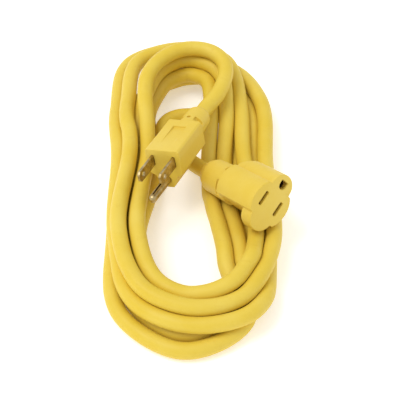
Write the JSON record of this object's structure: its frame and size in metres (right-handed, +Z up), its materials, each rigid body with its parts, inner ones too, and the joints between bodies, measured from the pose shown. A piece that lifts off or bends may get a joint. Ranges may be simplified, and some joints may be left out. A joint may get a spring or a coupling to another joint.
{
  "type": "extension cord",
  "caption": "Yellow three-core outdoor extension cord coiled as a long hank, with a moulded three-pin plug and a moulded three-slot connector lying on it.",
  "frame": {"origin": "middle of the whole part seen from above, on the surface that the hank lies on", "axes": "+Z up, Y along the hank with the plug's blades pointing towards -Y, X across the hank with the connector on the +X side"},
  "size_m": [0.1019, 0.236, 0.0471],
  "materials": {
    "cord_jacket": "soft PVC jacket, fine matt skin",
    "moulded_ends": "moulded PVC, satin",
    "insert": "moulded nylon",
    "brass": "stamped sheet, lightly polished",
    "copper": "bare stranded copper",
    "black_core": "PVC insulation",
    "white_core": "PVC insulation",
    "green_core": "PVC insulation"
  },
  "bodies": {
    "root": {"hank": "cord_jacket", "plug_lead": "cord_jacket", "connector_lead": "cord_jacket", "plug_body": "moulded_ends", "plug_carrier": "insert", "line_blade": "brass", "neutral_blade": "brass", "ground_pin": "brass", "plug_line_core": "copper", "plug_line_insulation": "black_core", "plug_neutral_core": "copper", "plug_neutral_insulation": "white_core", "plug_ground_core": "copper", "plug_ground_insulation": "green_core", "connector_body": "moulded_ends", "contact_carrier": "insert", "carrier_cap": "insert", "line_contact": "brass", "neutral_contact": "brass", "ground_contact": "brass", "connector_line_core": "copper", "connector_line_insulation": "black_core", "connector_neutral_core": "copper", "connector_neutral_insulation": "white_core", "connector_ground_core": "copper", "connector_ground_insulation": "green_core"}
  },
  "joints": []
}
